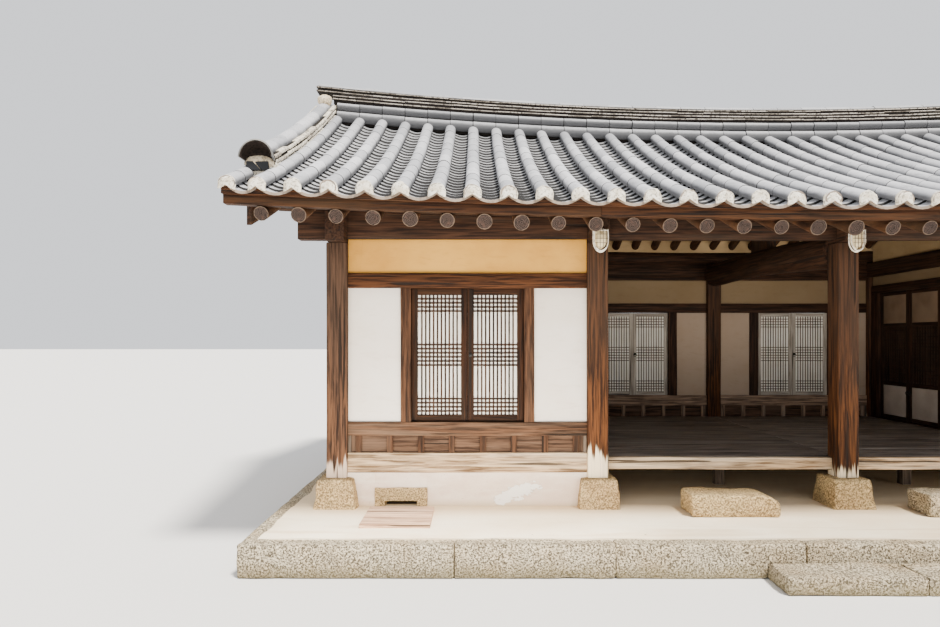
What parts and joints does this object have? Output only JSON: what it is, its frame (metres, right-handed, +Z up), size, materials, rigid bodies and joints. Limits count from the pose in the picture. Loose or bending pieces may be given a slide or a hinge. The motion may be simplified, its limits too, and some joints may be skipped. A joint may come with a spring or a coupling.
{
  "type": "hanok house",
  "caption": "Tile-roofed timber hanok row on a stone platform, with an open raised hall between closed plastered rooms.",
  "frame": {"origin": "middle of the column grid, on the ground under the platform", "axes": "+X to the right along the front, +Y from the open front to the back, +Z up"},
  "size_m": [11.236, 6.254, 5.095],
  "materials": {
    "packed_earth": "matt",
    "granite": "rough dressed",
    "plaster": "matt lime plaster between dark timbers",
    "timber": "bare, weathered",
    "floor_board": "worn, dark",
    "weathered_board": "rough, weathered",
    "window_paper": "matt paper in timber sashes",
    "clay_tile": "unglazed fired clay",
    "lamp_cover": "milky"
  },
  "bodies": {
    "root": {"back_wall_1": "plaster", "back_wall_2": "plaster", "back_wall_3": "plaster", "back_wall_4": "plaster", "bargeboard_left": "timber", "bargeboard_right": "timber", "column_back_1": "timber", "column_back_2": "timber", "column_back_3": "timber", "column_back_4": "timber", "column_back_5": "timber", "column_front_1": "timber", "column_front_2": "timber", "column_front_3": "timber", "column_front_4": "timber", "column_front_5": "timber", "folding_doors_left": "window_paper", "folding_doors_right": "window_paper", "front_wall_left": "plaster", "front_wall_right": "plaster", "gable_beam_left": "timber", "gable_beam_right": "timber", "gable_ridge_left": "clay_tile", "gable_ridge_right": "clay_tile", "gable_wall_left": "plaster", "gable_wall_right": "plaster", "hall_beam_left": "timber", "hall_beam_right": "timber", "hall_crossbeam": "timber", "hall_floor": "floor_board", "hall_partition_left": "plaster", "hall_partition_right": "plaster", "lamp_left": "lamp_cover", "lamp_middle": "lamp_cover", "lamp_right": "lamp_cover", "main_ridge": "clay_tile", "platform_core": "packed_earth", "platform_curb": "granite", "purlin_back": "timber", "purlin_front": "timber", "purlin_ridge": "timber", "rafters_back": "timber", "rafters_front": "timber", "roof_back": "clay_tile", "roof_front": "clay_tile", "room_floor_left": "floor_board", "room_floor_right": "floor_board", "step_stone_left": "granite", "step_stone_right": "granite", "vent_cover": "weathered_board", "window_back_1": "window_paper", "window_back_2": "window_paper", "window_back_3": "window_paper", "window_back_4": "window_paper", "window_front_left": "window_paper", "window_front_right": "window_paper", "yard_step": "granite"}
  },
  "joints": []
}
